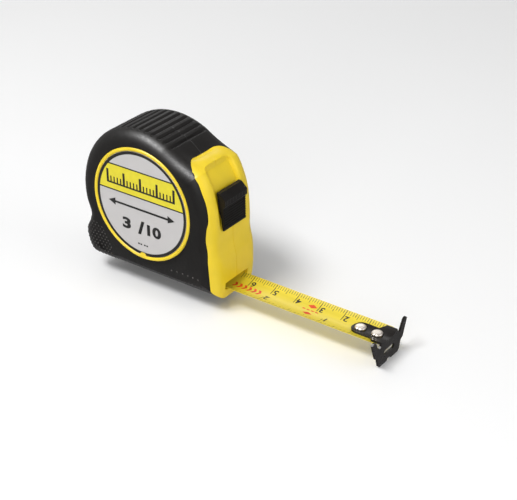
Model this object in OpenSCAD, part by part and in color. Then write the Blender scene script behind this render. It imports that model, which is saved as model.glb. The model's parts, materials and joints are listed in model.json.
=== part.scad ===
// Pocket tape measure: a two-half case in a rubber jacket, with the blade drawn
// out a few centimetres and the thumb lock pushed down.
// X runs out along the blade, Y across it (the printed label is on the -Y side),
// Z up. The origin is on the flat foot under the case, on its mid-plane.

/* [Case] */
// Thickness of the case over both rubber sides
case_w = 28; // [27:0.5:31]
// Radius of the round back of the case
body_r = 28.2; // [28:0.1:28.6]
// Rounding between the sides and the rim of the case
edge_r = 5.5; // [4.5:0.5:6]
// Radius of the round underside, seen from the front
belly_r = 15.5; // [15.2:0.1:16]
// Thickness of the rubber jacket
jacket_t = 1.5; // [1.2:0.1:1.6]
// Thickness of the plastic under the jacket
wall_t = 1.8; // [1.5:0.1:2]

/* [Label] */
// Outer radius of the raised ring around each label
ring_r = 22.2; // [21.8:0.1:22.4]
// Width of the raised ring
ring_w = 1.4; // [1.2:0.1:1.8]
// Height of the ring over the rubber
ring_proud = 0.4; // [0.2:0.1:0.6]

/* [Blade] */
// Width of the blade, half an inch
blade_w = 12.7; // [12:0.1:12.8]
// Thickness of the blade with its paint
blade_t = 0.16; // [0.14:0.02:0.2]
// Height of the blade's two edges over the foot
blade_z = 5.5; // [5.4:0.1:5.6]
// Depth of the hollow across the blade
cup = 1.6; // [1.5:0.1:1.7]
// Place of the zero of the printed scale
zero_x = 95; // [94:0.5:100]

/* [Hook] */
// Thickness of the hook, and how far it slides on its rivets
hook_t = 0.8; // [0.7:0.1:0.8]
// Radius of a rivet's head
rivet_r = 2.1; // [1.9:0.1:2.2]

/* [Lock] */
// Width of the lock button
button_w = 13.2; // [12.6:0.1:13.6]
// Number of ribs on the button's apron
button_ribs = 8; // [4:1:9]

/* [Top] */
// Number of grip grooves across the top
grooves = 11; // [6:1:12]

/* [Hidden] */

eps = 0.1;
half_w = case_w / 2;
shell_y = half_w - jacket_t;
cavity_d = jacket_t + wall_t;
cavity_y = half_w - cavity_d;
body_c = [-3, 32];
hub = [-2, 32.2];
label_c = [-1.25, 32.75];

// The back of the crown stands a little outside its circle.
crown_rise = 0.5;

// The rim shrinks about this point and by this reach where the sides round over.
rim_c = [0, 30];
rim_reach = 30;
edge_steps = 4;
belly_z = 15;

slot_w = 13.6;
slot_top = 7.6;
under_blade = 0.7;
front_x = 31;

ring_top = half_w + ring_proud;
label_y = half_w - 0.25;
label_t = 0.35;
label_r = ring_r - ring_w - 0.1;
key_w = 3.2;

cup_r = (pow(blade_w / 2, 2) + pow(cup, 2)) / (2 * cup);
cup_z = blade_z - cup + cup_r;
blade_end = zero_x - 1.2;
blade_start = 38;

arbor_r = 3;
drum_in_r = 15.4;
drum_out_r = 16.8;
coil_r = 20.5;
flange_r = 21.6;
flange_y = 6.75;
flange_t = 1.1;
running_gap = 0.06;

// Three screws join the halves, clear of the drum.
screw_at = [[-24.6, 10.4], [16.6, 12.2], [-22.4, 46.2]];
screw_r = 1;
boss_r = 2.3;

channel_w = button_w + 0.3;
stem_w = 4.8;
strip_w = 8;

// ---- the outline of the case, in the X-Z plane ----

function arc(c, r, a0, a1, n) =
    [for (i = [0:n]) let (a = a0 + (a1 - a0) * i / n) c + r * [cos(a), sin(a)]];

crown = [for (i = [0:12]) let (a = 47 + 13 * i)
    body_c + (body_r + crown_rise * max(0, sin(2 * a - 150))) * [cos(a), sin(a)]];
heel = [[-29.5, 17.4], [-31.2, 14], [-31.4, 10.6], [-30.1, 6.2], [-27.2, 2.4], [-24, 0], [-20.5, 0]];
arch = [[-17.5, 1.3], [-14.8, 1.8], [-11, 1.1], [-6.5, 0.4]];
foot = [[-2, 0], [3, 0], [10, 0], [17, 0], [24, 0], [28.6, 0.1]];
nose = [[30.2, 1.1], [30.7, 4.2], [front_x, 8], [front_x, 13], [30.7, 17], [30, 20], [29.5, 23.5],
        [29.5, 28], [29.3, 33], [28.8, 37.5], [27.9, 41.5], [26.6, 45.2], [24.8, 48.8],
        [22.8, 51.3], [20.4, 52.5], [18, 52.7]];
controls = concat(crown, heel, arch, foot, nose);

// A smooth closed curve through the points: each gets its place and one point between.
function between(a, b, c, d) = (9 * (b + c) - a - d) / 16;
function on_floor(p) = [p[0], max(p[1], 0)];
function smooth(p) = let (n = len(p)) [for (i = [0:n - 1]) each
    [p[i], on_floor(between(p[(i + n - 1) % n], p[i], p[(i + 1) % n], p[(i + 2) % n]))]];
rim = smooth(controls);

// Where the yellow front ends on the side of the case, from the top down, inside it, and on its top.
nose_edge = [[16, 62], [16, 50], [21.6, 50], [23.4, 48.7], [25.3, 44.8], [26.6, 41.3],
             [27.5, 37.6], [27.8, 33.8], [27.4, 30.8], [27.2, 26], [27.8, 21.2], [28.4, 13.3],
             [28.7, 6], [28.7, -2]];
nose_core = [[16, 62], [16, 50], [20.5, 49.5], [23, 43], [24.5, 37], [25, 30], [25, 13], [28.7, 6], [28.7, -2]];
nose_corner = [[16.1, 4.5], [16.4, 6], [17.1, 7.5], [18.2, 8.9], [19.7, 10.1], [21.4, 11.2], [24.5, 14.5]];

// Turns an X-Z drawing into a slab from y = y0 down to y = y1.
module slab(y0, y1) {
    translate([0, y0, 0]) rotate([90, 0, 0]) linear_extrude(y0 - y1) children();
}

module peg(at, r, y0, y1, fn = 48) {
    translate([at[0], y0, at[1]]) rotate([90, 0, 0]) cylinder(r = r, h = y0 - y1, $fn = fn);
}

// The -Y side of the case shape, shrunk by d all round. over carries it past the middle.
module half_case(d, over, steps = edge_steps) {
    flat = half_w - edge_r;
    r = max(edge_r - d, 0.5);
    n = len(rim);
    y = concat([over], [for (k = [0:steps]) -flat - r * sin(90 * k / steps)]);
    size = [for (k = [-1:steps]) 1 - (d + r * (1 - cos(90 * max(k, 0) / steps))) / rim_reach];
    points = [for (k = [0:steps + 1]) for (p = rim) let (q = rim_c + size[k] * (p - rim_c)) [q[0], y[k], q[1]]];
    sides = [for (k = [0:steps]) for (i = [0:n - 1]) let (j = (i + 1) % n)
        [k * n + i, (k + 1) * n + i, (k + 1) * n + j, k * n + j]];
    caps = [[for (i = [0:n - 1]) i], [for (i = [n - 1:-1:0]) (steps + 1) * n + i]];
    intersection() {
        polyhedron(points, concat(sides, caps));
        rotate([90, 0, 90]) translate([0, 0, -45]) linear_extrude(90) belly(d);
    }
}

// The case seen from the front: straight sides, a round underside and a flat foot.
module belly(d) {
    w = half_w - d;
    r = belly_r - d;
    a0 = acos(w / r);
    a1 = asin((belly_z - d) / r);
    polygon(concat([[w, 70], [-w, 70]], arc([0, belly_z], r, 180 + a0, 180 + a1, 8),
                   arc([0, belly_z], r, 360 - a1, 360 - a0, 8)));
}

module nose_zone(y0, y1) {
    intersection() {
        union() {
            slab(y0, y1) polygon(concat(nose_edge, [[40, -2], [40, 62]]));
            slab(y0, -9.5) polygon(concat(nose_core, [[40, -2], [40, 62]]));
        }
        translate([0, 0, -5]) linear_extrude(70)
            polygon(concat(nose_corner, [[40, 14.5], [40, -14.5]],
                           [for (i = [len(nose_corner) - 1:-1:0]) [nose_corner[i][0], -nose_corner[i][1]]]));
    }
}

module mirror_y() {
    mirror([0, 1, 0]) children();
}

// ---- case ----

// Everything the two shells share, drawn as the -Y half.
module shell_half() {
    difference() {
        union() {
            intersection() {
                difference() {
                    union() {
                        half_case(jacket_t, 2);
                        intersection() {
                            half_case(0, 3);
                            nose_zone(4, -half_w - 1);
                        }
                        peg(label_c, ring_r, -shell_y + 0.5, -ring_top, 96);
                    }
                    half_case(cavity_d, 5, 2);
                    peg(label_c, ring_r - ring_w, -label_y, -ring_top - eps, 96);
                }
                translate([-50, -50, -10]) cube([100, 50, 100]);
            }
            label_key(0, -label_y + 0.3, 0.1 - ring_top);
            for (p = screw_at)
                peg(p, boss_r, 0, -cavity_y - eps);
            peg(hub, arbor_r + 2.2, -flange_y - flange_t - 0.4, -cavity_y - eps);
            channel_wall();
        }
        peg(hub, arbor_r + 0.02, 1, -cavity_y);
        mouth();
        channel_cut();
    }
}

// The little tab that keeps the label from turning.
module label_key(grow, y0, y1) {
    base = ring_r - 0.6;
    tip = label_r - 0.95 - grow;
    slab(y0, y1) translate([label_c[0], label_c[1]])
        polygon([[-key_w / 2 - grow, -base], [key_w / 2 + grow, -base],
                 [key_w / 3 + grow, -tip], [-key_w / 3 - grow, -tip]]);
}

// The slot that the blade comes out of, hollowed like the blade underneath, and its flat run further in.
module mouth() {
    low = blade_z - cup - under_blade;
    intersection() {
        translate([front_x - 7, -slot_w / 2, low - 1]) cube([9, slot_w, slot_top - low + 1]);
        translate([front_x - 8, 0, cup_z]) rotate([0, 90, 0]) cylinder(r = cup_r + under_blade, h = 11, $fn = 128);
    }
    translate([front_x - 25, -slot_w / 2, low + 0.3]) cube([18.5, slot_w, slot_top - low - 0.3]);
}

floor_line = [[29.6, 28.4], [27.1, 34.5], [26.3, 41], [25, 43.6], [22.3, 49.8], [22, 51]];

// The sunk track that the button slides in, with a slit for its stem.
module channel_cut() {
    slab(eps, -channel_w / 2) polygon(concat(floor_line, [[34, 51], [34, 28.4]]));
    slab(eps, -stem_w / 2 - 0.3) polygon([[20, 30.4], [30, 30.4], [30, 42.2], [20, 42.2]]);
}

// Plastic behind the sunk track.
module channel_wall() {
    back = [for (i = [len(floor_line) - 1:-1:0]) floor_line[i] - [1.5, 0.2]];
    slab(0, -channel_w / 2 - 1.3) polygon(concat([for (p = floor_line) p + [0.2, 0]], back));
}

module left_case_shell() {
    color([0.92, 0.78, 0.12]) difference() {
        shell_half();
        for (p = screw_at) peg(p, screw_r + 0.03, eps, -9);
    }
}

module right_case_shell() {
    color([0.92, 0.78, 0.12]) difference() {
        union() {
            mirror_y() shell_half();
            peg(hub, 6, ring_top, cavity_y);
        }
        for (p = screw_at) {
            peg(p, screw_r + 0.15, half_w, -eps);
            peg(p, boss_r - 0.3, half_w + 1, cavity_y - 1.5);
        }
        peg(hub, arbor_r + 0.02, cavity_y, 0);
        peg(hub, screw_r + 0.15, ring_top + eps, cavity_y - eps);
    }
}

module jacket_half() {
    difference() {
        half_case(0, 2);
        half_case(jacket_t, 3);
        nose_zone(4, -half_w - 1);
        peg(label_c, ring_r, 5, -half_w - 1, 96);
        grip_grooves();
        translate([-50, 0, -10]) cube([100, 50, 100]);
    }
}

groove_step = 5.9;
module grip_grooves() {
    for (i = [0:grooves - 1])
        translate([body_c[0], 0, body_c[1]])
            rotate([0, groove_step * (i - (grooves - 1) / 2) - 2, 0])
                translate([-0.55, -half_w + edge_r - 1, body_r - 0.6])
                    cube([1.1, half_w - edge_r + 1 + eps, 2]);
}

module left_rubber_jacket() {
    color([0.12, 0.12, 0.12]) jacket_half();
}

module right_rubber_jacket() {
    color([0.12, 0.12, 0.12]) difference() {
        mirror_y() jacket_half();
        for (p = screw_at) peg(p, boss_r + 0.1, half_w + 1, 0);
    }
}

module label_half(hole_r) {
    difference() {
        peg(label_c, label_r, -label_y - 0.01, -label_y - label_t, 96);
        label_key(0.1, 0, -ring_top - 1);
        if (hole_r > 0) peg(hub, hole_r, 0, -ring_top - 1);
    }
}

module left_label() {
    color([0.8, 0.8, 0.8]) label_half(0);
}

module right_label() {
    color([0.8, 0.8, 0.8]) mirror_y() label_half(6.1);
}

module case_screws() {
    head_y = cavity_y - 1.5;
    color([0.5, 0.5, 0.52]) for (p = screw_at) difference() {
        union() {
            peg(p, screw_r, head_y, -8);
            peg(p, boss_r - 0.5, head_y + 1.4, head_y);
        }
        for (a = [0, 90]) translate([p[0], head_y + 1.4, p[1]]) rotate([0, a, 0])
            translate([-1.2, -0.8, -0.25]) cube([2.4, 1, 0.5]);
    }
}

// ---- belt clip on the far side ----

clip_w = 11;
clip_t = 0.9;
clip_gap = 4.6;
clip_y = ring_top + 0.02;
// Down the outer face of the clip from its top, then back up its inner face.
clip_path = [[0, 38.4], [0, 27.6], [clip_gap, 24.4], [clip_gap, 12.5], [0.6, 8.4], [2.2, 5.6]];

module belt_clip() {
    color([0.7, 0.7, 0.72]) difference() {
        translate([hub[0] - clip_w / 2, clip_y, 0]) rotate([90, 0, 90]) linear_extrude(clip_w)
            polygon(concat([for (p = clip_path) p + [clip_t, 0]],
                           [for (i = [len(clip_path) - 1:-1:0]) clip_path[i]]));
        peg(hub, screw_r + 0.15, clip_y + 2, clip_y - 1);
    }
}

module belt_clip_screw() {
    top = clip_y + clip_t + 0.02;
    color([0.5, 0.5, 0.52]) difference() {
        union() {
            peg(hub, screw_r, top, cavity_y + 0.3);
            peg(hub, 2.2, top + 1.3, top);
        }
        for (a = [0, 90]) translate([hub[0], top + 1.3, hub[1]]) rotate([0, a, 0])
            translate([-1.3, -0.7, -0.25]) cube([2.6, 1, 0.5]);
    }
}

// ---- drum, spring and wound blade ----

module spring_arbor() {
    color([0.6, 0.6, 0.62]) difference() {
        peg(hub, arbor_r, cavity_y - 0.1, -cavity_y + 0.1);
        translate([hub[0] - 0.3, -6, hub[1] - arbor_r - 1]) cube([0.6, 12, arbor_r + 2]);
    }
}

// A round side plate of the drum with a bore that turns on the arbor.
module drum_plate(y0, y1) {
    difference() {
        peg(hub, flange_r, y0, y1, 96);
        peg(hub, arbor_r + running_gap, y0 + 1, y1 - 1);
        for (a = [0:60:300]) peg(hub + 10.5 * [cos(a), sin(a)], 3, y0 + 1, y1 - 1, 32);
    }
}

module spring_drum() {
    color([0.85, 0.85, 0.8]) {
        drum_plate(-flange_y, -flange_y - flange_t);
        difference() {
            peg(hub, drum_out_r, flange_y, -flange_y - eps, 96);
            peg(hub, drum_in_r, flange_y + 1, -flange_y - 1, 96);
            // slit that the outer end of the spring hooks into
            translate([hub[0] - 0.4, -6, hub[1] - drum_out_r - 1]) cube([0.8, 12, 3]);
        }
    }
}

module drum_cover() {
    color([0.85, 0.85, 0.8]) {
        drum_plate(flange_y + flange_t + 0.02, flange_y + 0.02);
        difference() {
            peg(hub, drum_in_r - 0.05, flange_y + 0.1, flange_y - 0.9, 96);
            peg(hub, drum_in_r - 1.2, flange_y + 1, flange_y - 2, 96);
        }
    }
}

spring_turns = 8;
spring_t = 0.25;
spring_r0 = arbor_r + 0.35;
spring_r1 = 14.1;

module power_spring() {
    n = spring_turns * 30;
    function at(i, off) = let (r = spring_r0 + off + (spring_r1 - spring_r0) * i / n, a = 90 + i * 12)
        hub + r * [cos(a), sin(a)];
    color([0.45, 0.5, 0.6]) slab(5.5, -5.5)
        polygon(concat([for (i = [0:n]) at(i, 0)], [for (i = [n:-1:0]) at(i, spring_t)]));
}

// The blade that is still wound up, wrapped tight round the drum.
module blade_coil() {
    color([0.93, 0.85, 0.2]) difference() {
        peg(hub, coil_r, blade_w / 2, -blade_w / 2, 96);
        peg(hub, drum_out_r + 0.02, blade_w, -blade_w, 96);
    }
}

// ---- blade ----

// A straight run of hollow blade from x0 to x1.
module hollow_run(x0, x1, r_out, r_in, w) {
    intersection() {
        translate([x0, 0, cup_z]) rotate([0, 90, 0]) difference() {
            cylinder(r = r_out, h = x1 - x0, $fn = 128);
            translate([0, 0, -1]) cylinder(r = r_in, h = x1 - x0 + 2, $fn = 128);
        }
        translate([x0 - 1, -w / 2, 0]) cube([x1 - x0 + 2, w, blade_z + 1]);
    }
}

lead_bend = 22;
// The blade leaves the coil sloping down and bends level on its way to the mouth.
function bezier(p, t) = pow(1 - t, 3) * p[0] + 3 * t * pow(1 - t, 2) * p[1]
    + 3 * t * t * (1 - t) * p[2] + pow(t, 3) * p[3];

module blade_lead() {
    off = coil_r + 0.4;
    slope = 10;
    start = hub + off * [-sin(slope), -cos(slope)];
    level = [lead_bend, blade_z - cup + 0.3 * blade_t];
    route = [start, start + 12 * [cos(slope), -sin(slope)], level - [12, 0], level];
    line = [for (i = [0:16]) bezier(route, i / 16)];
    color([0.93, 0.85, 0.2]) {
        slab(blade_w / 2, -blade_w / 2)
            polygon(concat(line, [for (i = [16:-1:0]) line[i] + [0, blade_t]]));
        hollow_run(lead_bend - 0.5, blade_start - 0.02, cup_r, cup_r - blade_t, blade_w);
    }
}

rivet_x = [zero_x - 10.9, zero_x - 4.2];

module blade() {
    color([0.93, 0.85, 0.2]) difference() {
        hollow_run(blade_start, blade_end, cup_r, cup_r - blade_t, blade_w);
        for (x = rivet_x) translate([x, 0, 0]) cylinder(r = 1.1, h = 10, $fn = 32);
    }
}

// ---- hook ----

tongue_w = 6.6;
shoulder_w = 10.8;
// nail slot: distance between the centres of its round ends, and their radius
nail_l = 5;
nail_r = 1;
hook_out_r = cup_r - blade_t - 0.04;

plate_half = [[5.4, 5.6], [5.6, 4.7], [6.3, 4.2], [7.2, 4.3], [9.3, 8.1], [10.6, 8.5], [11.5, 7.9],
              [9.1, 1.4], [7.7, 0.6], [7.5, -0.4], [6.9, -2.6], [6, -3.4], [1.5, -3.4], [0.7, -2.5]];

module end_hook() {
    tongue_x = rivet_x[0];
    shoulder_x = zero_x - 3.4;
    color([0.25, 0.24, 0.24]) {
        difference() {
            intersection() {
                hollow_run(tongue_x - 4, zero_x + hook_t, hook_out_r, hook_out_r - hook_t, blade_w);
                union() {
                    translate([tongue_x, 0, 0]) cylinder(d = tongue_w, h = 10, $fn = 48);
                    translate([tongue_x, -tongue_w / 2, 0]) cube([zero_x - tongue_x, tongue_w, 10]);
                    linear_extrude(10)
                        polygon([[shoulder_x - 2, -tongue_w / 2], [shoulder_x, -shoulder_w / 2],
                                 [zero_x + hook_t, -shoulder_w / 2], [zero_x + hook_t, shoulder_w / 2],
                                 [shoulder_x, shoulder_w / 2], [shoulder_x - 2, tongue_w / 2]]);
                }
            }
            // slots that let the hook slide on its rivets
            for (x = rivet_x) translate([x - 1.2 - running_gap, -1.1 - running_gap, 0])
                cube([2.4 + 2 * running_gap + hook_t, 2.2 + 2 * running_gap, 10]);
        }
        hook_plate();
    }
}

module hook_plate() {
    left = [for (i = [len(plate_half) - 1:-1:0]) [-plate_half[i][0], plate_half[i][1]]];
    translate([zero_x, 0, 0]) rotate([90, 0, 90]) difference() {
        linear_extrude(hook_t) difference() {
            polygon(concat(plate_half, left));
            translate([-nail_l / 2, 0.85 - nail_r]) square([nail_l, 2 * nail_r]);
            for (s = [-1, 1]) translate([s * nail_l / 2, 0.85]) circle(r = nail_r, $fn = 24);
        }
        translate([0, cup_z, -1]) cylinder(r = hook_out_r - hook_t, h = hook_t + 2, $fn = 128);
    }
}

module hook_rivets() {
    color([0.85, 0.8, 0.75]) for (x = rivet_x) translate([x, 0, 0]) {
        translate([0, 0, 5.15]) cylinder(r = rivet_r, h = 0.5, $fn = 48);
        translate([0, 0, 5.65]) cylinder(r1 = rivet_r, r2 = rivet_r - 0.4, h = 0.2, $fn = 48);
        translate([0, 0, 3.55]) cylinder(r = 1.08, h = 1.85, $fn = 32);
        translate([0, 0, 3.55]) cylinder(r = 1.9, h = 0.2, $fn = 48);
    }
}

// ---- lock ----

ridge = [[27.3, 43.1], [28.6, 43], [31, 40.8], [31, 38.5], [30.3, 37.7]];
apron_bottom = [[30.4, 28.7], [29.8, 28.7]];
button_back = [[29.3, 33], [28.3, 36], [27.7, 41]];

module lock_button() {
    color([0.1, 0.1, 0.1]) {
        difference() {
            slab(button_w / 2, -button_w / 2) polygon(concat(ridge, apron_bottom, button_back));
            for (i = [0:button_ribs - 1])
                translate([30.1, -button_w, 36.6 - i]) cube([1, 2 * button_w, 0.45]);
        }
        slab(stem_w / 2, -stem_w / 2) polygon([[25.4, 31], [29.4, 31.4], [28.6, 35.6], [25.4, 35.6]]);
    }
}

// Runs down inside the front and presses on the blade just behind the mouth.
module lock_strip() {
    color([0.3, 0.3, 0.3]) slab(strip_w / 2, -strip_w / 2)
        polygon([[24.3, 36.4], [25.3, 36.4], [25.3, 24], [24.9, 12], [26.4, 8.4], [26.4, 6.1],
                 [22.9, 6.1], [22.9, 8.4], [23.9, 12], [24.3, 24]]);
}

left_case_shell();
right_case_shell();
left_rubber_jacket();
right_rubber_jacket();
left_label();
right_label();
spring_arbor();
spring_drum();
drum_cover();
power_spring();
blade_coil();
blade_lead();
blade();
end_hook();
hook_rivets();
lock_button();
lock_strip();
case_screws();
belt_clip();
belt_clip_screw();
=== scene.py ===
"""Pocket tape measure: smooth case, jacket, printed blade and labels over the CAD frame."""

import json
import math

import bmesh
import bpy
import numpy as np
from mathutils import Matrix, Vector
from mathutils.bvhtree import BVHTree


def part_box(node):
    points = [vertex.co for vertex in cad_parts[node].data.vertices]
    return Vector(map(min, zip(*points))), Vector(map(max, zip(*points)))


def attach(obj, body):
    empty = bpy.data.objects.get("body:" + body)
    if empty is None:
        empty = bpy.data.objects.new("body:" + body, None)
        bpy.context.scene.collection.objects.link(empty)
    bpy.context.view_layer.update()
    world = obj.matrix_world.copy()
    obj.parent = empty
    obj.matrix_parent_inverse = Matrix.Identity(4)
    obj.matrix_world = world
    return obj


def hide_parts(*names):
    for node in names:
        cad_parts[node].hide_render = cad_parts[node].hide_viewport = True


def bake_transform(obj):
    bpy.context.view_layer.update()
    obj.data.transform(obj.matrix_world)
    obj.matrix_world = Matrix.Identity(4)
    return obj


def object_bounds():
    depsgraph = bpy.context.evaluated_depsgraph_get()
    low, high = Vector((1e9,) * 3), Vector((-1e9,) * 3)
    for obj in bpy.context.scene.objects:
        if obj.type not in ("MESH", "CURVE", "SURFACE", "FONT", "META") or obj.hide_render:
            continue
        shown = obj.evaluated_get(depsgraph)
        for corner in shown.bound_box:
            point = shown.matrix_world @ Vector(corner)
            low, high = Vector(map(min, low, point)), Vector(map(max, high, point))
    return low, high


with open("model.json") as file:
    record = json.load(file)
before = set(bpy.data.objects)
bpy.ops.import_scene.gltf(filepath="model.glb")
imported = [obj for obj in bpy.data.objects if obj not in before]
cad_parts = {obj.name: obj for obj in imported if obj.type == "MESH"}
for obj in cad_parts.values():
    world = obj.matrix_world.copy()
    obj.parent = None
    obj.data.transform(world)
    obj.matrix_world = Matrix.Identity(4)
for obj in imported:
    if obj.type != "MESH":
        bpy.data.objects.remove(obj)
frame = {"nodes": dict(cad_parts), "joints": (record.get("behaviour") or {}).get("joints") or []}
cad_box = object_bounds()

MM = 0.001
MIDDLE_GAP = 0.01


def mm_box(node):
    lo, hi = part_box(node)
    return np.array(lo) / MM, np.array(hi) / MM


# ---- driving sizes in mm, read from the frame ----

jacket_lo, _ = mm_box("left_rubber_jacket")
ring_lo, _ = mm_box("left_case_shell")
label_lo, label_hi = mm_box("left_label")
blade_lo, blade_hi = mm_box("blade")
_, button_hi = mm_box("lock_button")
drum_joint = next(j for j in frame["joints"] if j["name"] == "drum_turn")

HALF_W = -jacket_lo[1]
HUB = np.array([drum_joint["pos_m"][0], drum_joint["pos_m"][2]]) / MM
LABEL_C = (label_lo + label_hi)[[0, 2]] / 2
LABEL_R = (label_hi[0] - label_lo[0]) / 2
LABEL_Y = -label_hi[1]
LABEL_TOP = -label_lo[1]
RING_TOP = -ring_lo[1]
BLADE_HALF = blade_hi[1]
BLADE_X0, BLADE_X1 = blade_lo[0], blade_hi[0]
CHANNEL_HALF = button_hi[1] + 0.15


# ---- sizes in mm that the frame doesn't give, the same as in the CAD ----

RING_W = 1.4
RING_GAP = 0.1
RING_R = LABEL_R + RING_GAP + RING_W
BLADE_T = 0.16
BLADE_EDGE = 5.5
CUP = 1.6
CUP_R = (BLADE_HALF ** 2 + CUP ** 2) / (2 * CUP)
BLADE_LOW = BLADE_EDGE - CUP
CUP_Z = BLADE_LOW + CUP_R
UNDER_BLADE = 0.7
ZERO_X = BLADE_X1 + 1.2
INCH = 25.4

EDGE_R = 5.5
BELLY_R = 15.5
BELLY_Z = 15.0
CROWN_RISE = 0.5
JACKET_T = 1.5
WALL_T = 1.8
BODY_C = np.array([-3.0, 32.0])
BODY_R = 28.2
RIM_C = np.array([0.0, 30.0])
RIM_REACH = 30.0
SCREWS = [(-24.6, 10.4), (16.6, 12.2), (-22.4, 46.2)]
BOSS_R = 2.3
HUB_PAD_R = 6
KEY_W = 3.2
CLIP_T = 0.9


# ---- outlines as (x, z) points in mm ----

def crown():
    """The round back, standing a little outside its circle half way up."""
    a = np.radians(np.arange(47, 204, 13))
    r = BODY_R + CROWN_RISE * np.maximum(0, np.sin(2 * a - math.radians(150)))
    return np.column_stack([BODY_C[0] + r * np.cos(a), BODY_C[1] + r * np.sin(a)])


HEEL = [(-29.5, 17.4), (-31.2, 14), (-31.4, 10.6), (-30.1, 6.2), (-27.2, 2.4), (-24, 0), (-20.5, 0)]
ARCH = [(-17.5, 1.3), (-14.8, 1.8), (-11, 1.1), (-6.5, 0.4)]
FOOT = [(-2, 0), (3, 0), (10, 0), (17, 0), (24, 0), (28.6, 0.1)]
NOSE = [(30.2, 1.1), (30.7, 4.2), (31, 8), (31, 13), (30.7, 17), (30, 20), (29.5, 23.5), (29.5, 28),
        (29.3, 33), (28.8, 37.5), (27.9, 41.5), (26.6, 45.2), (24.8, 48.8), (22.8, 51.3),
        (20.4, 52.5), (18, 52.7)]
# where yellow meets rubber on the sides, and how far back yellow goes between them
NOSE_EDGE = [(16, 62), (16, 51.8), (19.4, 51.6), (21.4, 50.6), (22.6, 49.3), (23.9, 47.6), (25.1, 45),
             (26.6, 41.3), (27.5, 37.6), (27.8, 33.8), (27.4, 30.8), (27.2, 26), (27.8, 21.2), (28.4, 13.3),
             (28.7, 6), (28.7, -2)]
NOSE_CORE = [(16, 62), (16, 50), (20.5, 49.5), (23, 43), (24.5, 37), (25, 30), (25, 13), (28.7, 6),
             (28.7, -2)]
# the same edge over the top, seen from above: (x, distance from the middle)
NOSE_CORNER = [(16.1, 4.5), (16.4, 6), (17.1, 7.5), (18.1, 8.9), (19.3, 10.1), (20.4, 11.2), (22.3, 14.5)]
# the bottom of the lock button's track
FLOOR_LINE = [(29.6, 28.4), (27.1, 34.5), (26.3, 41), (25, 43.6), (22.3, 49.8), (22, 51)]


def spline(p, closed, per):
    """Points on a smooth curve through p, per of them to a stretch."""
    p = np.array(p, float)
    n = len(p)
    out = []
    for i in range(n if closed else n - 1):
        a, b, c, d = (p[k % n] if closed else p[min(max(k, 0), n - 1)] for k in (i - 1, i, i + 1, i + 2))
        for t in np.arange(per) / per:
            out.append(0.5 * (2 * b + (c - a) * t + (2 * a - 5 * b + 4 * c - d) * t * t
                              + (3 * b - a - 3 * c + d) * t ** 3))
    if not closed:
        out.append(p[-1])
    return np.array(out)


def resample(p, step):
    """The closed line p again, with points about step apart."""
    q = np.vstack([p, p[:1]])
    s = np.concatenate([[0], np.cumsum(np.linalg.norm(np.diff(q, axis=0), axis=1))])
    at = np.linspace(0, s[-1], int(s[-1] / step) + 1)[:-1]
    return np.column_stack([np.interp(at, s, q[:, 0]), np.interp(at, s, q[:, 1])])


RIM = spline(np.vstack([crown(), HEEL, ARCH, FOOT, NOSE]), True, 12)
RIM[:, 1] = np.maximum(RIM[:, 1], 0)
SOFTENING_PASSES = 260


def softened(rim):
    """The outline with the corner behind the yellow front smoothed out, as the sides have it."""
    soft = rim.copy()
    near = (rim[:, 0] > 9) & (rim[:, 0] < 23.5) & (rim[:, 1] > 48)
    for _ in range(SOFTENING_PASSES):
        soft[near] = (np.roll(soft, 1, axis=0) + np.roll(soft, -1, axis=0))[near] / 2
    return soft


def smoothstep(a, b, x):
    t = np.clip((x - a) / (b - a), 0, 1)
    return t * t * (3 - 2 * t)


# ---- mesh helpers ----

def make(name, verts, faces, material, sharp=35):
    """A mesh object from points in mm."""
    mesh = bpy.data.meshes.new(name)
    mesh.from_pydata([tuple(v) for v in np.array(verts) * MM], [], [list(map(int, f)) for f in faces])
    mesh.update()
    obj = bpy.data.objects.new(name, mesh)
    bpy.context.scene.collection.objects.link(obj)
    if material:
        mesh.materials.append(material)
    shade(obj, sharp)
    return obj


def shade(obj, sharp=35):
    obj.data.polygons.foreach_set("use_smooth", [True] * len(obj.data.polygons))
    obj.data.set_sharp_from_angle(angle=math.radians(sharp))


def paint(obj, key, sharp):
    """One material all over, and shading afresh after booleans."""
    obj.data.materials.clear()
    obj.data.materials.append(M[key])
    shade(obj, sharp)


def face_out(obj):
    bm = bmesh.new()
    bm.from_mesh(obj.data)
    bmesh.ops.recalc_face_normals(bm, faces=bm.faces)
    bm.to_mesh(obj.data)
    bm.free()


def combine(obj, tool, how):
    """A boolean of two closed meshes, applied; the tool is used up."""
    m = obj.modifiers.new("b", "BOOLEAN")
    m.object, m.operation, m.solver = tool, how, "MANIFOLD"
    bpy.context.view_layer.update()
    mesh = bpy.data.meshes.new_from_object(obj.evaluated_get(bpy.context.evaluated_depsgraph_get()))
    obj.modifiers.clear()
    obj.data = mesh
    bpy.data.objects.remove(tool)
    return obj


def loft(name, rings, material=None):
    """A closed skin over rings of points, each with as many points."""
    n = len(rings[0])
    faces = [(k * n + i, (k + 1) * n + i, (k + 1) * n + (i + 1) % n, k * n + (i + 1) % n)
             for k in range(len(rings) - 1) for i in range(n)]
    faces += [range(n - 1, -1, -1), range((len(rings) - 1) * n, len(rings) * n)]
    obj = make(name, np.vstack(rings), faces, material)
    face_out(obj)
    return obj


def prism(name, outline, y0, y1, material=None):
    """An X-Z outline pulled from y0 to y1."""
    return loft(name, [np.array([(x, y, z) for x, z in outline]) for y in (y0, y1)], material)


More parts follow.
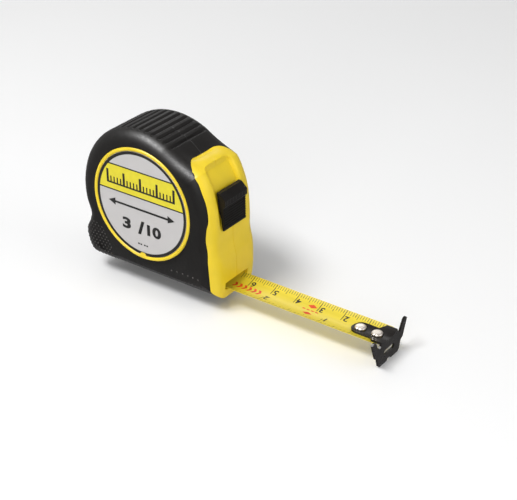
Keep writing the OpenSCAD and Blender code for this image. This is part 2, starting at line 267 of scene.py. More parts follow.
def drum(name, centre, profile, material=None, n=128, closed=True):
    """A solid turned about an axis along Y: profile is (radius, y) pairs round a closed section."""
    a = np.linspace(0, 2 * math.pi, n, endpoint=False)
    rings = [np.column_stack([centre[0] + r * np.cos(a), np.full(n, y), centre[1] + r * np.sin(a)])
             for r, y in profile]
    k = len(rings)
    faces = [(i * n + j, ((i + 1) % k) * n + j, ((i + 1) % k) * n + (j + 1) % n, i * n + (j + 1) % n)
             for i in range(k if closed else k - 1) for j in range(n)]
    if not closed:
        faces += [range(n - 1, -1, -1), range((k - 1) * n, k * n)]
    obj = make(name, np.vstack(rings), faces, material)
    face_out(obj)
    return obj


def peg(centre, r, y0, y1, n=64):
    """A plain cylinder along Y."""
    return drum("peg", centre, [(r, y0), (r, y1)], n=n, closed=False)


def box(name, x0, x1, z0, z1, y0, y1):
    """A block, given by its two ends along each axis."""
    return prism(name, [(x0, z0), (x1, z0), (x1, z1), (x0, z1)], y0, y1)


def past_middle():
    """A block over everything on the +Y side of the middle plane."""
    return box("cut", -60, 60, -20, 80, MIDDLE_GAP, 9)


def mirrored(obj, name):
    """A copy on the other side of the middle plane."""
    copy = obj.copy()
    copy.data = obj.data.copy()
    copy.name = name
    bpy.context.scene.collection.objects.link(copy)
    copy.data.transform(Matrix.Diagonal((1, -1, 1, 1)))
    copy.data.flip_normals()
    return copy


def keep(obj, body, slot, *nodes):
    """Puts a finished piece on its body."""
    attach(obj, body)
    if nodes:
        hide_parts(*nodes)
    return obj


def bevel(obj, width, segments=2, angle=40):
    m = obj.modifiers.new("bevel", "BEVEL")
    m.width, m.segments, m.limit_method, m.angle_limit = width * MM, segments, "ANGLE", math.radians(angle)
    m.harden_normals = False
    return obj


# ---- materials ----

class Nodes:
    """A small helper for building a material's node tree."""

    def __init__(self, name):
        self.mat = bpy.data.materials.new(name)
        self.mat.use_nodes = True
        self.tree = self.mat.node_tree
        self.bsdf = self.tree.nodes["Principled BSDF"]
        self.coord = self.add("ShaderNodeTexCoord").outputs["Object"]

    def add(self, kind, **values):
        node = self.tree.nodes.new(kind)
        for key, value in values.items():
            setattr(node, key, value)
        return node

    def link(self, a, b):
        self.tree.links.new(a, b)

    def set(self, **values):
        for key, value in values.items():
            self.bsdf.inputs[key.replace("_", " ")].default_value = value

    def noise(self, scale, detail=3, rough=0.5, stretch=None):
        node = self.add("ShaderNodeTexNoise")
        node.inputs["Scale"].default_value = scale
        node.inputs["Detail"].default_value = detail
        node.inputs["Roughness"].default_value = rough
        source = self.coord
        if stretch:
            mapping = self.add("ShaderNodeMapping")
            mapping.inputs["Scale"].default_value = stretch
            self.link(self.coord, mapping.inputs["Vector"])
            source = mapping.outputs["Vector"]
        self.link(source, node.inputs["Vector"])
        return node.outputs["Fac"]

    def math(self, op, a, b=0.0, c=0.0):
        node = self.add("ShaderNodeMath", operation=op)
        for socket, value in zip(node.inputs, (a, b, c)):
            if isinstance(value, (int, float)):
                socket.default_value = value
            else:
                self.link(value, socket)
        return node.outputs[0]

    def ramp(self, value, stops):
        node = self.add("ShaderNodeValToRGB")
        ramp = node.color_ramp
        while len(ramp.elements) < len(stops):
            ramp.elements.new(0.5)
        for element, (at, colour) in zip(ramp.elements, stops):
            element.position = at
            element.color = (*colour, 1)
        self.link(value, node.inputs["Fac"])
        return node.outputs["Color"]

    def range(self, value, lo, hi, from_lo=0.3, from_hi=0.7):
        node = self.add("ShaderNodeMapRange")
        for key, number in (("From Min", from_lo), ("From Max", from_hi), ("To Min", lo), ("To Max", hi)):
            node.inputs[key].default_value = number
        self.link(value, node.inputs["Value"])
        return node.outputs["Result"]

    def bump(self, height, strength, distance):
        node = self.add("ShaderNodeBump")
        node.inputs["Strength"].default_value = strength
        node.inputs["Distance"].default_value = distance * MM
        self.link(height, node.inputs["Height"])
        self.link(node.outputs["Normal"], self.bsdf.inputs["Normal"])

    def axes(self):
        node = self.add("ShaderNodeSeparateXYZ")
        self.link(self.coord, node.inputs["Vector"])
        return node.outputs

    def window(self, value, lo, hi, soft):
        """1 where value is between lo and hi, fading over soft."""
        up = self.range(value, 0, 1, lo - soft, lo)
        down = self.range(value, 1, 0, hi, hi + soft)
        return self.math("MULTIPLY", up, down)


def shades(colour, *factors):
    return [tuple(min(c * f, 1) for c in colour) for f in factors]


def plastic(name, colour, rough, grain, grain_scale, mottle=0.05):
    """Moulded plastic: a little mottle, uneven gloss and a fine skin texture."""
    n = Nodes(name)
    dark, mid, light = shades(colour, 1 - mottle, 1.0, 1 + mottle)
    n.link(n.ramp(n.noise(90, 2), [(0.3, dark), (0.5, mid), (0.7, light)]), n.bsdf.inputs["Base Color"])
    n.link(n.range(n.noise(400, 4), rough - 0.05, rough + 0.07), n.bsdf.inputs["Roughness"])
    n.bump(n.noise(grain_scale, 3), grain, 0.05)
    return n.mat


def metal(name, colour, rough, stretch, scale=700, metallic=1.0, bump=0.15, specular=0.5, uneven=0.09):
    """Rolled or turned metal with fine lines and a few duller patches."""
    n = Nodes(name)
    dark, mid, light = shades(colour, 1 - 2 * uneven, 1.0, 1 + uneven)
    lines = n.noise(scale, 3, 0.6, stretch)
    n.link(n.ramp(lines, [(0.3, dark), (0.5, mid), (0.75, light)]), n.bsdf.inputs["Base Color"])
    patches = n.noise(260, 4)
    n.link(n.range(patches, rough - uneven, rough + uneven), n.bsdf.inputs["Roughness"])
    n.bump(lines, bump, 0.02)
    n.set(Metallic=metallic, Specular_IOR_Level=specular)
    return n.mat


def rubber_material():
    """Black soft-touch rubber with a pebbled grain and a trace of dust."""
    n = Nodes("jacket_rubber_skin")
    dark, mid, light = shades((0.0068, 0.0056, 0.0048), 0.7, 1.0, 1.7)
    n.link(n.ramp(n.noise(60, 5), [(0.3, dark), (0.55, mid), (0.75, light)]), n.bsdf.inputs["Base Color"])
    n.link(n.range(n.noise(900, 3), 0.38, 0.5), n.bsdf.inputs["Roughness"])
    n.bump(n.noise(1900, 2), 0.6, 0.04)
    n.set(Specular_IOR_Level=0.36)
    return n.mat


def blade_material():
    """Yellow enamel under a clear film, with faint rolling lines."""
    n = Nodes("blade_enamel")
    dark, mid, light = shades((0.83, 0.66, 0.035), 0.94, 1.0, 1.04)
    lines = n.noise(500, 3, 0.5, (0.05, 1, 1))
    n.link(n.ramp(lines, [(0.3, dark), (0.5, mid), (0.7, light)]), n.bsdf.inputs["Base Color"])
    n.link(n.range(n.noise(900, 3), 0.3, 0.42), n.bsdf.inputs["Roughness"])
    n.bump(lines, 0.05, 0.02)
    n.set(Coat_Weight=0.25, Coat_Roughness=0.25)
    return n.mat


def ink(name, colour, uneven=0.15):
    """Printing ink, a little uneven where it was laid on."""
    n = Nodes(name)
    dark, light = shades(colour, 1 - uneven, 1 + uneven)
    n.link(n.ramp(n.noise(500, 2), [(0.35, dark), (0.65, light)]), n.bsdf.inputs["Base Color"])
    n.link(n.range(n.noise(1200, 2), 0.38, 0.5), n.bsdf.inputs["Roughness"])
    return n.mat


SERRATION = 0.9 * MM
RIDGE_X = (0.0295, 0.0325, 0.0003)
RIDGE_Z = (0.0385, 0.0405, 0.0002)


def button_material():
    """Black plastic with fine upright serrations on the front of the thumb ridge."""
    n = Nodes("button_black")
    n.link(n.ramp(n.noise(150, 3), [(0.3, (0.006, 0.005, 0.0045)), (0.7, (0.012, 0.010, 0.009))]),
           n.bsdf.inputs["Base Color"])
    n.link(n.range(n.noise(700, 3), 0.3, 0.42), n.bsdf.inputs["Roughness"])
    x, y, z = n.axes()
    saw = n.math("ABSOLUTE", n.math("SUBTRACT", n.math("FRACT", n.math("MULTIPLY", y, 1 / SERRATION)), 0.5))
    face = n.math("MULTIPLY", n.window(z, *RIDGE_Z), n.window(x, *RIDGE_X))
    grain = n.math("MULTIPLY", n.noise(2500, 2), 0.12)
    n.bump(n.math("ADD", n.math("MULTIPLY", saw, face), grain), 0.6, 0.3)
    n.set(Specular_IOR_Level=0.2)
    return n.mat


YELLOW = (0.88, 0.645, 0.02)
M = {
    "plastic": plastic("case_yellow", YELLOW, 0.4, 0.12, 1800),
    "rubber": rubber_material(),
    # pips: a base colour far lighter than the rubber they are moulded from, a painted highlight standing in
    # for the sheen on their tops
    "pip": plastic("rubber_pip_painted_highlight", (0.055, 0.05, 0.046), 0.3, 0.1, 2500),
    "label": plastic("label_silver", (0.53, 0.515, 0.51), 0.5, 0.03, 2500, 0.012),
    "band": ink("label_yellow", (0.74, 0.64, 0.02), 0.03),
    "black": ink("ink_black", (0.013, 0.012, 0.012)),
    "red": ink("ink_red", (0.78, 0.075, 0.008)),
    "blade": blade_material(),
    "hook": metal("hook_black_oxide", (0.01, 0.0078, 0.0066), 0.3, (0.2, 1, 1), 900, 0.0, 0.1, 0.3),
    "rivet": metal("rivet_nickel", (0.93, 0.85, 0.77), 0.34, (1, 1, 1), 900, 1.0, 0.06),
    "button": button_material(),
    "strip": plastic("strip_black", (0.03, 0.03, 0.03), 0.45, 0.1, 1500),
    "drum": plastic("drum_ivory", (0.70, 0.69, 0.63), 0.45, 0.1, 1500),
    "spring": metal("spring_blued", (0.13, 0.17, 0.27), 0.28, (1, 0.05, 1)),
    "arbor": metal("arbor_turned", (0.50, 0.50, 0.51), 0.3, (1, 0.05, 1)),
    "screw": metal("screw_zinc", (0.42, 0.42, 0.43), 0.33, (1, 1, 1), 900),
    "clip": metal("clip_bright", (0.62, 0.62, 0.63), 0.3, (1, 1, 0.05), uneven=0.03),
}


# ---- case ----

# distances from the middle plane at which the flat part of the skin has a ring of points
FLAT_YS = np.concatenate([np.arange(0.4, 6.2, 0.7), np.arange(6.3, 8.0, 0.16), [HALF_W - EDGE_R]])


def case_half(d, over, relief=None, step=0.3, fillet=14):
    """The -Y side of the case shape shrunk by d, closed at y = over.

    relief moves the points of the skin, and only a skin has the softened corner.
    """
    rim = resample(RIM, step)
    soft = softened(rim) if relief else rim
    r = max(EDGE_R - d, 0.5)
    sections = [(over, 0)] + ([(0.0, 0), (-0.12, 0)] if relief else []) + [(-y, 0) for y in FLAT_YS]
    for a in np.radians(np.linspace(0, 90, fillet + 1))[1:]:
        sections.append((-(HALF_W - EDGE_R) - r * math.sin(a), r * (1 - math.cos(a))))
    rings = []
    for y, drop in sections:
        line = rim + (soft - rim) * smoothstep(3, 9, -y)
        q = RIM_C + (1 - (d + drop) / RIM_REACH) * (line - RIM_C)
        p = np.column_stack([q[:, 0], np.full(len(q), y), q[:, 1]])
        if relief:
            p = relief(p)
        rings.append(belly(p, d))
    return loft("half", rings)


def belly(p, d):
    """Rounds the underside, seen from the front, down to the flat foot."""
    v = p[:, [1, 2]] - [0, BELLY_Z]
    far = np.maximum(np.linalg.norm(v, axis=1), 1e-6)
    r = BELLY_R - d
    hit = (v[:, 1] < 0) & (far > r)
    q = p.copy()
    for k, axis in enumerate((1, 2)):
        q[hit, axis] = [0, BELLY_Z][k] + (v[hit, k] * r / far[hit])
    return q


LIP_W = 1.1
CHANNEL_CORNER = 2.2
GROOVES = 11
GROOVE_STEP = 5.9
GROOVE_LEAN = 2
GROOVE_DEPTH = 0.75
PARTING_HALF = 0.05


def jacket_relief(p):
    """Grip grooves across the crown, and a parting line down the middle."""
    v = p[:, [0, 2]] - BODY_C
    far = np.linalg.norm(v, axis=1)
    turn = (np.degrees(np.arctan2(v[:, 0], v[:, 1])) + GROOVE_LEAN) / GROOVE_STEP
    off = np.abs(turn - np.round(turn)) * math.radians(GROOVE_STEP) * BODY_R
    inside = np.abs(turn) < GROOVES / 2
    depth = GROOVE_DEPTH * (1 - smoothstep(0.1, 0.85, off)) * inside
    depth *= 1 - smoothstep(8.9, 10.4, np.abs(p[:, 1]))
    depth += 0.1 * (np.abs(p[:, 1]) < PARTING_HALF)
    q = p.copy()
    q[:, [0, 2]] -= v / far[:, None] * depth[:, None]
    return q


def nose_relief(p):
    """The sunk track for the lock button, with rounded lips and top corners, and the parting line."""
    z = p[:, 2]
    line = np.array(FLOOR_LINE)
    floor = np.interp(z, line[:, 1], line[:, 0])
    across = np.abs(p[:, 1]) - (CHANNEL_HALF - CHANNEL_CORNER)
    above = z - (FLOOR_LINE[-1][1] + 0.5 - CHANNEL_CORNER)
    off = np.hypot(np.maximum(across, 0), np.maximum(above, 0)) - CHANNEL_CORNER
    inside = (1 - np.clip(off / LIP_W, 0, 1)) ** 1.8 * smoothstep(28.4, 29, z) * (p[:, 0] > 18)
    q = p.copy()
    q[:, 0] += np.minimum(floor - p[:, 0], 0) * inside
    q[:, 0] -= 0.25 * (np.abs(p[:, 1]) < PARTING_HALF) * (p[:, 0] > 15)
    return q


def nose_zone(shift, end):
    """Closed mesh of where the yellow front reaches the surface."""
    edge = np.vstack([NOSE_EDGE[:2], spline(NOSE_EDGE[2:], False, 6)]) + [shift, 0]
    zone = prism("zone", np.vstack([edge, [(40, -2), (40, 62)]]), 4, -end)
    core = np.vstack([NOSE_CORE + np.array([shift, 0]), [(40.1, -2.1), (40.1, 62.1)]])
    combine(zone, prism("core", core, 4.1, -9.5), "UNION")
    corner = spline(NOSE_CORNER, False, 6) + [shift, 0]
    plan = np.vstack([corner[::-1] * [1, -1], corner, [(40, 14.8), (40, -14.8)]])
    tall = loft("tall", [np.array([(x, y, z) for x, y in plan]) for z in (-5, 65)])
    return combine(zone, tall, "INTERSECT")


def build_jackets():
    left = case_half(0, 0.5, jacket_relief)
    combine(left, case_half(JACKET_T, 2, step=1.0, fillet=6), "DIFFERENCE")
    combine(left, nose_zone(-0.12, HALF_W + 1), "DIFFERENCE")
    combine(left, peg(LABEL_C, RING_R + 0.05, 5, -HALF_W - 1, 160), "DIFFERENCE")
    combine(left, past_middle(), "DIFFERENCE")
    left.name = "jacket_left"
    right = mirrored(left, "jacket_right")
    for at in SCREWS:
        combine(right, peg(at, BOSS_R + 0.1, 0, HALF_W + 1), "DIFFERENCE")
    for obj, node in ((left, "left_rubber_jacket"), (right, "right_rubber_jacket")):
        paint(obj, "rubber", 45)
        keep(obj, "case", "jacket_rubber", node)
        build_pips(obj)


def pip_places():
    """(x, z, radius) of the moulded pips: a patch on the heel and two rows along the lower edge."""
    along, down = np.array([0.42, -0.91]), np.array([0.91, 0.42])
    patch, along_step, down_step = np.array([-24.5, 8.5]), 1.45, 1.25
    places = []
    for i in range(-9, 10):
        for j in range(-5, 6):
            x, z = patch + along_step * (i + 0.5 * (j % 2)) * along + down_step * j * down
            clear = math.hypot(x - LABEL_C[0], z - LABEL_C[1]) > RING_R + 3.2
            if clear and -31 < x < -17.5 and 1.2 < z < 19:
                places.append((x, z, 0.3))
    places += [(10.9 + 2.6 * k, 9.0 + 0.18 * k, 0.38) for k in range(6)]
    places += [(12.2 + 1.65 * k, 6.0 + 0.08 * k, 0.26) for k in range(10)]
    return places


def build_pips(jacket):
    """Small round pips that stand on the rubber."""
    side = -1 if "left" in jacket.name else 1
    tree = BVHTree.FromObject(jacket, bpy.context.evaluated_depsgraph_get())
    turn = np.radians(np.arange(0, 360, 45))
    verts, faces = [], []
    for x, z, radius in pip_places():
        hit, normal, _, _ = tree.ray_cast(Vector((x, side * 25, z)) * MM, Vector((0, -side, 0)), 0.02)
        if hit is None or normal.y * side < 0.25:
            continue
        u = normal.cross(Vector((1, 0, 0))).normalized()
        v = normal.cross(u)
        k = len(verts)
        for share, rise in ((1, -0.12), (0.95, 0.05), (0.6, 0.15)):
            verts += [hit / MM + (u * math.cos(a) + v * math.sin(a)) * share * radius + normal * rise
                      for a in turn]
        for level in (0, 8):
            faces += [(k + level + i, k + level + (i + 1) % 8, k + level + 8 + (i + 1) % 8, k + level + 8 + i)
                      for i in range(8)]
        faces += [range(k + 7, k - 1, -1), range(k + 16, k + 24)]
    # the pip material's lighter base colour is a painted highlight on each pip
    pips = make(jacket.name + "_pips", verts, faces, M["pip"], 60)
    face_out(pips)
    keep(pips, "case", "jacket_rubber")


def ring_profile():
    """Section of the raised label ring, with rounded shoulders."""
    r = 0.6
    inner, outer, foot = LABEL_R + RING_GAP, RING_R, HALF_W - 1.8
    quarter = np.radians(np.linspace(0, 90, 6))
    top = [(outer - r + r * math.cos(a), RING_TOP - r + r * math.sin(a)) for a in quarter]
    top += [(inner + r - r * math.sin(a), RING_TOP - r + r * math.cos(a)) for a in quarter]
    return [(radius, -y) for radius, y in [(outer, foot)] + top + [(inner, foot)]]


def label_key(grow, y0, y1):
    """The tab on the ring that keeps the label from turning."""
    base, tip = RING_R - 0.6, LABEL_R - 0.95 - grow
    half = KEY_W / 2 + grow
    outline = [(-half, -base), (half, -base), (half * 0.95, -tip - 0.9), (half * 0.6, -tip - 0.15),
               (half * 0.3, -tip), (-half * 0.3, -tip), (-half * 0.6, -tip - 0.15),
               (-half * 0.95, -tip - 0.9)]
    return prism("key", np.array(outline) + LABEL_C, y0, y1)


def build_shells():
    left = case_half(0, 0.5, nose_relief)
    combine(left, nose_zone(0, HALF_W + 1), "INTERSECT")
    combine(left, case_half(JACKET_T, 0.4, step=1.2, fillet=6), "UNION")
    combine(left, peg(LABEL_C, RING_R - 0.3, -HALF_W + 3, -LABEL_Y, 160), "UNION")
    combine(left, drum("ring", LABEL_C, ring_profile(), n=192), "UNION")
    combine(left, label_key(0.0, -LABEL_Y + 0.3, -RING_TOP + 0.1), "UNION")
    combine(left, case_half(JACKET_T + WALL_T, 3, step=1.2, fillet=4), "DIFFERENCE")
    cut_front(left)
    combine(left, past_middle(), "DIFFERENCE")
    for at in SCREWS:
        combine(left, peg(at, BOSS_R, 0, -HALF_W + 3), "UNION")
    left.name = "shell_left"
    right = mirrored(left, "shell_right")
    for at in SCREWS:
        combine(right, peg(at, BOSS_R - 0.3, HALF_W - 4.8, HALF_W + 1), "DIFFERENCE")
    combine(right, peg(HUB, HUB_PAD_R, HALF_W - 3, RING_TOP, 96), "UNION")
    for obj, node in ((left, "left_case_shell"), (right, "right_case_shell")):
        paint(obj, "plastic", 40)
        keep(obj, "case", "case_plastic", node)


MOUTH_HALF = 6.8
MOUTH_TOP = 7.6
RUN_FLOOR = 3.5
SLIT_HALF = 2.7


def cut_front(shell):
    """The mouth, hollowed under the blade, the run behind it, and the slit for the button's stem."""
    y = np.linspace(-MOUTH_HALF, MOUTH_HALF, 29)
    outline = list(zip(y, cup_height(y, CUP_R + UNDER_BLADE)))
    outline += [(MOUTH_HALF, MOUTH_TOP), (-MOUTH_HALF, MOUTH_TOP)]
    mouth = loft("mouth", [np.array([(x, a, b) for a, b in outline]) for x in (24, 33)])
    combine(shell, mouth, "DIFFERENCE")
    combine(shell, box("run", 6, 24.5, RUN_FLOOR, MOUTH_TOP, 5, -MOUTH_HALF), "DIFFERENCE")
    combine(shell, box("cut", 20, 30, 30.4, 42.2, 5, -SLIT_HALF), "DIFFERENCE")


# ---- labels ----

PRINT_R = LABEL_R - 1.2
BAND = (2.6, 13.0)
BAND_LINE = 0.25
INK_STEP = 0.02


def glyph(text, height, bold=0.03, wide=1.0):
    """Outline of a number in the built-in font, centred: points and faces in mm."""
    curve = bpy.data.curves.new("glyph", "FONT")
    curve.body, curve.size, curve.offset = text, 1.0, bold
    obj = bpy.data.objects.new("glyph", curve)
    bpy.context.scene.collection.objects.link(obj)
    bpy.context.view_layer.update()
    mesh = bpy.data.meshes.new_from_object(obj.evaluated_get(bpy.context.evaluated_depsgraph_get()))
    bm = bmesh.new()
    bm.from_mesh(mesh)
    bmesh.ops.remove_doubles(bm, verts=bm.verts, dist=1e-5)
    bm.verts.index_update()
    points = np.array([v.co[:2] for v in bm.verts])
    faces = [[v.index for v in f.verts] for f in bm.faces]
    bm.free()
    bpy.data.objects.remove(obj)
    low, high = points.min(axis=0), points.max(axis=0)
    scale = height / (high[1] - low[1])
    return (points - (low + high) / 2) * [scale * wide, scale], faces


def rectangles(boxes):
    """Points and faces of upright rectangles given as x0, x1, z0, z1."""
    points = [p for x0, x1, z0, z1 in boxes for p in ((x0, z0), (x1, z0), (x1, z1), (x0, z1))]
    return points, [range(4 * k, 4 * k + 4) for k in range(len(boxes))]


def ruler_motif():
    """Bold ruler ticks that stand where a name would."""
    boxes = [(-15.8, 15.8, 5.0, 5.7)]
    pitch = 1.53
    for i in range(-10, 11):
        tall, half = (4.9, 0.5) if i % 5 == 0 else (2.3, 0.3)
        x = i * pitch
        boxes.append((x - half, x + half, 5.6, 5.6 + tall))
    return rectangles(boxes)


def arrow_motif():
    """A two-headed arrow across the label."""
    half, head, rise, thin, drop = 15.4, 3.2, 1.5, 0.42, 2.1
    shaft = [(-half + head, -thin), (half - head, -thin), (half - head, thin), (-half + head, thin)]
    right = [(half - head, -rise), (half, 0), (half - head, rise)]
    left = [(-half + head, rise), (-half, 0), (-half + head, -rise)]
    return [(x, z - drop) for x, z in shaft + right + left], [(0, 1, 2, 3), (4, 5, 6), (7, 8, 9)]


def band_outline(z0, z1):
    """The part of the printed disc between two level lines."""
    a0, a1 = math.asin(z0 / PRINT_R), math.asin(z1 / PRINT_R)
    right = np.linspace(a0, a1, 24)
    angles = np.concatenate([right, math.pi - right[::-1]])
    return PRINT_R * np.column_stack([np.cos(angles), np.sin(angles)]), [range(48)]


def label_prints(figures):
    """(name, points, faces, layer, material) of everything printed on a label."""
    ring = np.radians(np.arange(0, 360, 2))
    border = np.array([(r * math.cos(a), r * math.sin(a)) for a in ring for r in (PRINT_R, LABEL_R - 0.06)])
    out = [("border", border, strip_faces(180, True), 2, M["black"]),
           ("band", *band_outline(*BAND), 1, M["band"]),
           ("edge_low", *band_outline(BAND[0] - BAND_LINE, BAND[0] + BAND_LINE), 2, M["black"]),
           ("edge_high", *band_outline(BAND[1] - BAND_LINE, BAND[1] + BAND_LINE), 2, M["black"]),
           ("ruler", *ruler_motif(), 2, M["black"])]
    if figures:
        out.append(("arrow", *arrow_motif(), 2, M["black"]))
        for text, height, wide, x in (("3", 4.6, 1.5, -7.3), ("/", 5.6, 1.2, -0.4), ("10", 4.6, 1.3, 5.6)):
            points, faces = glyph(text, height, 0.045, wide)
            out.append((f"figure_{len(out)}", points + [x, -9.5], faces, 2, M["black"]))
        out.append(("dashes", *rectangles([(x, x + 0.7, -16.7, -16.1) for x in (-2.2, -1.1, 0.6, 1.7)]), 2,
                    M["black"]))
    return out


def strip_faces(n, closed=False):
    """Faces of a ladder of n pairs of points."""
    return [(2 * i, 2 * i + 1, (2 * i + 3) % (2 * n), (2 * i + 2) % (2 * n))
            for i in range(n if closed else n - 1)]


def build_label(side, name, node):
    """Silver label with a yellow band and print, set inside the ring."""
    edge = [(LABEL_R, side * (LABEL_TOP - 0.05)), (LABEL_R - 0.05, side * LABEL_TOP)]
    base = drum(f"label_{name}", LABEL_C, [(LABEL_R, side * LABEL_Y)] + edge, n=180, closed=False)
    combine(base, label_key(0.1, side * (LABEL_Y - 1), side * RING_TOP), "DIFFERENCE")
    if side > 0:
        combine(base, peg(HUB, HUB_PAD_R + 0.1, LABEL_Y - 1, RING_TOP, 96), "DIFFERENCE")
    paint(base, "label", 20)
    keep(base, "case", "label_print", node)
    for kind, points, faces, layer, material in label_prints(side < 0):
        level = LABEL_TOP + layer * INK_STEP
        verts = [(LABEL_C[0] - side * x, side * level, LABEL_C[1] + z) for x, z in points]
        piece = make(f"label_{kind}_{name}", verts, faces, material)
        if piece.data.polygons[0].normal.y * side < 0:
            piece.data.flip_normals()
        keep(piece, "case", "label_print")


# ---- blade ----

def cup_height(y, radius):
    """Height of the hollow's surface of that radius, y from the middle."""
    return CUP_Z - np.sqrt(radius ** 2 - y ** 2)


def strip_mesh(name, stations, material):
    """A blade run: stations are (x, lowest z, share of the full hollow)."""
    ys = np.linspace(-BLADE_HALF, BLADE_HALF, 33)
    under = cup_height(ys, CUP_R) - cup_height(0, CUP_R)
    rings = []
    for x, z, share in stations:
        low = [(x, y, z + share * u) for y, u in zip(ys, under)]
        high = [(x, y, z + share * u + BLADE_T) for y, u in zip(ys[::-1], under[::-1])]
        rings.append(np.array(low + high))
    return loft(name, rings, material)


def lead_stations():
    """Off the coil sloping down, then level with the mouth."""
    lead_lo, lead_hi = mm_box("blade_lead")
    p = [np.array(q) for q in ((lead_lo[0], lead_hi[2] - BLADE_T), (lead_lo[0] + 12, lead_hi[2] - 2.3),
                               (12, BLADE_LOW), (24, BLADE_LOW))]
    out = []
    for t in np.linspace(0, 1, 24):
        x, z = (1 - t) ** 3 * p[0] + 3 * t * (1 - t) ** 2 * p[1] + 3 * t * t * (1 - t) * p[2] + t ** 3 * p[3]
        out.append((x, z, smoothstep(6, 23, x)))
    return out + [(x, BLADE_LOW, 1.0) for x in np.linspace(24.5, BLADE_X0, 28)]


INK_LIFT = 0.02


def on_blade(points):
    """Lays flat X-Y points on the hollow top of the blade."""
    y = points[:, 1]
    return np.column_stack([points[:, 0], y, cup_height(y, CUP_R) + BLADE_T + INK_LIFT])


def bar(x0, x1, y0, y1, cuts=7):
    """A line across the blade, cut so that it follows the hollow."""
    ys = np.linspace(y0, y1, cuts)
    return np.array([(x, y) for y in ys for x in (x0, x1)]), strip_faces(cuts)


def scale_marks():
    """Every line and number of both scales, as (colour, points, faces)."""
    edge, thin, thick, figure = BLADE_HALF - 0.12, 0.09, 0.13, 2.6
    parts = []
    for k in range(2, 66):
        x = ZERO_X - k
        start = 1.3 if k % 10 == 0 else 3.9 if k % 5 == 0 else 4.6
        half = thick if k % 10 == 0 else thin
        parts.append(("black", *bar(x - half, x + half, start, edge)))
    for k in range(2, 42):
        x = ZERO_X - k * INCH / 16
        long = 4.4 if k % 16 == 0 else 3.0 if k % 8 == 0 else 2.2 if k % 4 == 0 else 1.5
        parts.append(("black", *bar(x - thin, x + thin, -edge, -edge + long)))
    for k in range(1, 7):
        parts.append(number(str(k), figure, ZERO_X - 10 * k + 1.5, 2.6))
    for k in (1, 2):
        parts.append(number(str(k), figure, ZERO_X - INCH * k + 1.2, -2.0))
    for x, y in ((62.5, 2.7), (63.0, -1.8)):
        parts.append(diamond(x, y, 1.9, 1.0))
    for k in range(4):
        parts.append(("red", *bar(59.6 + 1.8 * k, 60.8 + 1.8 * k, 0.2, 0.75, 3)))
    for k in range(6):
        parts.append(chevron(29.8 + 2.1 * k, -0.4))
    return parts


def number(text, height, x, y):
    """A number that reads from the far side of the blade."""
    points, faces = glyph(text, height, 0.02, 1.1)
    return "black", -points + [x, y], faces


def diamond(x, y, w, h):
    """A diamond of half width w along the blade and half height h."""
    return "red", np.array([(x - w, y), (x, y - h), (x + w, y), (x, y + h)]), [(0, 1, 2, 3)]


def chevron(x, y):
    """An arrowhead that points out along the blade."""
    shape = [(0, -1), (0.8, 0), (0, 1), (1.05, 1), (1.85, 0), (1.05, -1)]
    half = 1.45
    return "red", np.array([(x + dx, y + half * dy) for dx, dy in shape]), [(0, 5, 4, 1), (1, 4, 3, 2)]


def build_blade():
    """The drawn part, the part from the coil to the mouth, and the print on both."""
    split = BLADE_X0
    stations = [(x, BLADE_LOW, 1.0) for x in np.linspace(split, BLADE_X1, 60)]
    runs = {
        "run": strip_mesh("blade_run", stations, M["blade"]),
        "lead": strip_mesh("blade_start", lead_stations(), M["blade"]),
    }
    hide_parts("blade")
    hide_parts("blade_lead")
    pieces = list(runs.items())
    prints = {(run, colour): ([], []) for run in runs for colour in ("black", "red")}
    for colour, points, faces in scale_marks():
        all_verts, all_faces = prints["run" if points[:, 0].mean() > split else "lead", colour]
        k = len(all_verts)
        all_verts += list(on_blade(points))
        all_faces += [[k + i for i in f] for f in faces]
    for (run, colour), (verts, faces) in prints.items():
        if verts:
            pieces.append((run, make(f"blade_{run}_print_{colour}", verts, faces, M[colour], 180)))
    for run, obj in pieces:
        if run == "run":
            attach(obj, "blade")
        else:
            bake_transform(obj)


# ---- rivets, belt clip and the nodes that keep their CAD shape ----

# radius that stands for the axis in a turned profile
AXIS_R = 0.01


def build_rivets():
    """Low domed heads with a small nick in the near edge, and flat tails."""
    lo, hi = mm_box("hook_rivets")
    radius = hi[1]
    under_head = hi[2] - 0.75
    dome = [(AXIS_R, 0.75), (1.3, 0.745), (1.65, 0.70), (1.9, 0.58), (2.05, 0.38), (radius, 0.2),
            (2.04, 0.03), (1.9, 0), (AXIS_R, 0)]
    notch = [(AXIS_R, 2), (0.42, 2), (0.42, -1), (AXIS_R, -1)]
    tail = [(AXIS_R, 2.05), (1.05, 2.05), (1.05, 0.33), (1.9, 0.28), (1.9, 0), (AXIS_R, 0)]
    for i, x in enumerate((lo[0] + radius, hi[0] - radius)):
        head = turned(f"rivet_{i}", x, dome, under_head)
        combine(head, turned("nick", x + 0.25, notch, under_head, radius + 0.05), "DIFFERENCE")
        combine(head, turned("shank", x, tail, lo[2]), "UNION")
        paint(head, "rivet", 40)
        keep(head, "blade", "rivet_nickel", "hook_rivets")


def turned(name, x, profile, z, y=0.0, n=64):
    """A solid turned about an upright axis: profile is (radius, height) pairs."""
    a = np.linspace(0, 2 * math.pi, n, endpoint=False)
    rings = [np.column_stack([x + r * np.cos(a), -y + r * np.sin(a), np.full(n, z + h)]) for r, h in profile]
    return loft(name, rings)


BEND = 1.6


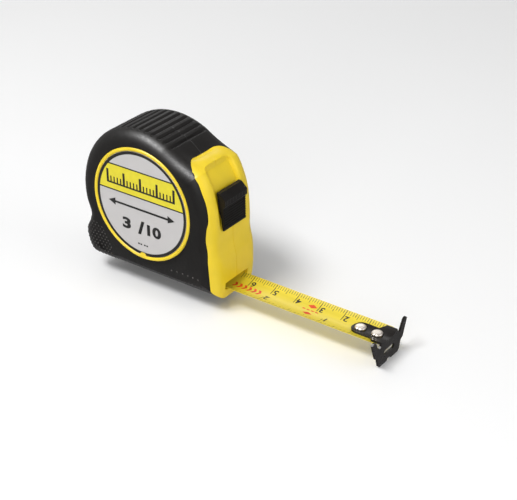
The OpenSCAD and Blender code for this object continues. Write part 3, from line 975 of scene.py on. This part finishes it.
def build_clip():
    """The belt clip as a strip bent round soft corners: path is (y, z) along its inner face."""
    lo, hi = mm_box("belt_clip")
    out = hi[1] - lo[1] - CLIP_T
    path = [(0, hi[2]), (0, 27.6), (out, 24.4), (out, 12.5), (0.6, 8.4), (2.2, lo[2])]
    centre = [np.array(path[0], float)]
    for a, b, c in zip(path, path[1:], path[2:]):
        a, b, c = (np.array(v, float) for v in (a, b, c))
        reach = min(BEND, np.linalg.norm(b - a) * 0.45, np.linalg.norm(c - b) * 0.45)
        p, q = b + (a - b) / np.linalg.norm(a - b) * reach, b + (c - b) / np.linalg.norm(c - b) * reach
        centre += [(1 - w) ** 2 * p + 2 * w * (1 - w) * b + w * w * q for w in np.linspace(0, 1, 8)]
    centre.append(np.array(path[-1], float))
    section = np.array(centre + [v + (CLIP_T, 0) for v in centre[::-1]]) + (lo[1], 0)
    strip = loft("belt_clip_strip", [np.array([(x, y, z) for y, z in section]) for x in (lo[0], hi[0])])
    combine(strip, peg(HUB, 1.15, lo[1] - 1, lo[1] + 2), "DIFFERENCE")
    paint(strip, "clip", 40)
    bevel(strip, 0.15)
    keep(strip, "case", "clip_steel", "belt_clip")


def finish_cad_nodes():
    """CAD pieces that keep their own shape get a material and softened edges."""
    plan = {
        "end_hook": ("hook", 0.12), "lock_button": ("button", 0.22), "lock_strip": ("strip", 0.1),
        "case_screws": ("screw", 0.08), "belt_clip_screw": ("screw", 0.1),
        "spring_arbor": ("arbor", 0.1), "spring_drum": ("drum", 0.1), "drum_cover": ("drum", 0.1),
        "power_spring": ("spring", 0), "blade_coil": ("blade", 0),
    }
    for name, (material, width) in plan.items():
        obj = frame["nodes"][name]
        obj.data.materials.clear()
        obj.data.materials.append(M[material])
        if width:
            bevel(obj, width)


# ---- studio ----

def area_light(name, at, to, size, power):
    """A soft box at one point in metres, facing another."""
    light = bpy.data.lights.new(name, "AREA")
    light.shape = "RECTANGLE"
    light.energy, light.size, light.size_y = power, *size
    obj = bpy.data.objects.new(name, light)
    bpy.context.scene.collection.objects.link(obj)
    obj.location = at
    obj.rotation_euler = (Vector(to) - Vector(at)).to_track_quat("-Z", "Y").to_euler()
    return obj


FLOOR_HALF = 3000


def studio():
    """A pale paper floor that gloss doesn't mirror, soft boxes, and one box that only gloss sees."""
    n = Nodes("floor_paper")
    papers = [(0.3, (0.95, 0.95, 0.95)), (0.7, (0.97, 0.97, 0.97))]
    n.link(n.ramp(n.noise(4, 2), papers), n.bsdf.inputs["Base Color"])
    n.set(Roughness=0.9, Specular_IOR_Level=0.1)
    low, a = cad_box[0][2] / MM, FLOOR_HALF
    floor = make("floor", [(-a, -a, low), (a, -a, low), (a, a, low), (-a, a, low)], [(0, 1, 2, 3)], n.mat)
    floor.visible_glossy = False
    world = bpy.data.worlds.new("studio")
    world.use_nodes = True
    background = world.node_tree.nodes["Background"]
    background.inputs["Color"].default_value = (1, 1, 1, 1)
    background.inputs["Strength"].default_value = 0.33
    bpy.context.scene.world = world
    area_light("key", (-0.17, -0.42, 0.82), (0.01, 0, 0.03), (0.5, 0.24), 5.8)
    shine = area_light("shine", (-0.2, -0.42, 0.78), (0.01, 0, 0.03), (0.55, 0.3), 14)
    shine.visible_diffuse = False
    area_light("front", (0.35, -0.75, 0.35), (0.02, 0, 0.03), (0.5, 0.4), 1.5)
    area_light("side", (0.75, 0.1, 0.4), (0.03, 0, 0.03), (0.5, 0.5), 1.2)
    area_light("back", (-0.42, 0.62, 0.46), (0.06, 0, 0.01), (0.4, 0.25), 0.5)
    bpy.context.scene.view_settings.view_transform = "Standard"


def camera():
    """At the angle the object is seen from, 0.48 m away."""
    cam = bpy.data.cameras.new("camera")
    cam.lens, cam.sensor_width, cam.sensor_fit = 93.9, 36, "HORIZONTAL"
    cam.clip_start, cam.clip_end = 0.01, 20
    obj = bpy.data.objects.new("camera", cam)
    bpy.context.scene.collection.objects.link(obj)
    azimuth, elevation, roll = math.radians(35.51), math.radians(29.75), math.radians(0.06)
    back = Vector((math.sin(azimuth) * math.cos(elevation), -math.cos(azimuth) * math.cos(elevation),
                   math.sin(elevation)))
    right = Vector((math.cos(azimuth), math.sin(azimuth), 0))
    up = back.cross(right)
    turn = Matrix.Rotation(roll, 3, back)
    basis = Matrix([turn @ right, turn @ up, back]).transposed()
    obj.matrix_world = Matrix.Translation((0.2828, -0.3393, 0.2598)) @ basis.to_4x4()
    bpy.context.scene.camera = obj


camera()
studio()
build_jackets()
build_shells()
build_label(-1, "left", "left_label")
build_label(1, "right", "right_label")
build_blade()
build_rivets()
build_clip()
finish_cad_nodes()
